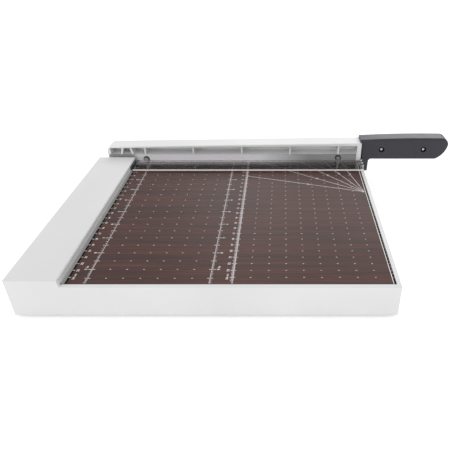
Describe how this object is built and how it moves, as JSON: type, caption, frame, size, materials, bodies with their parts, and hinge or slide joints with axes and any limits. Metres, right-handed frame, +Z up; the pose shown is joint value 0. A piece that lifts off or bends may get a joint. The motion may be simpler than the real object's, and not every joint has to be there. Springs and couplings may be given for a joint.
{
  "type": "guillotine paper cutter",
  "caption": "Desk guillotine cutter: flat tray with a printed dark board and squaring fence, and a hinged blade arm with grip along the rear edge.",
  "frame": {"origin": "middle of the whole cutter's footprint, on the surface it stands on", "axes": "+X towards the handle, +Y from the user's edge towards the blade arm, +Z up"},
  "size_m": [0.4989, 0.2778, 0.0748],
  "materials": {
    "tray_white": "fine satin moulding",
    "arm_white": "satin moulding",
    "board_brown": "printed dark rosewood laminate, satin",
    "strip_grey": "satin",
    "cover_grey": "powder coat",
    "fastener_steel": "bright zinc",
    "foot_rubber": "matte",
    "blade_steel": "ground along its length",
    "bracket_steel": "zinc plated",
    "washer_black": "matte",
    "bush_bronze": "sintered",
    "handle_charcoal": "soft satin",
    "guard_clear": "clear, polished"
  },
  "bodies": {
    "base": {"base_tray": "tray_white", "cutting_board": "board_brown", "squaring_strip": "strip_grey", "base_cover": "cover_grey", "cover_screws": "fastener_steel", "board_screws": "fastener_steel", "foot_front_left": "foot_rubber", "foot_front_right": "foot_rubber", "foot_rear_left": "foot_rubber", "foot_rear_right": "foot_rubber", "fixed_blade": "blade_steel", "fixed_blade_screws": "fastener_steel", "pivot_bracket": "bracket_steel", "pivot_bolt": "fastener_steel", "pivot_washer": "fastener_steel", "spring_washer": "fastener_steel", "pivot_nut": "fastener_steel", "open_stop_pin": "fastener_steel", "arm_rest": "bracket_steel", "rest_buffer": "foot_rubber", "guard_guides": "fastener_steel"},
    "arm": {"arm_beam": "arm_white", "moving_blade": "blade_steel", "blade_screws": "fastener_steel", "blade_washers": "washer_black", "pivot_bush": "bush_bronze", "handle_front": "handle_charcoal", "handle_rear": "handle_charcoal", "handle_screws": "fastener_steel", "handle_nuts": "fastener_steel"},
    "guard": {"clear_guard": "guard_clear"}
  },
  "joints": [
    {"name": "arm_pivot", "type": "hinge", "parent": "base", "child": "arm", "pos_m": [-0.208, 0.128, 0.033], "axis": [0, -1, 0], "range_deg": [0, 60]},
    {"name": "guard_lift", "type": "slide", "parent": "base", "child": "guard", "axis": [0, 0, 1], "range_m": [0, 0.003]}
  ]
}
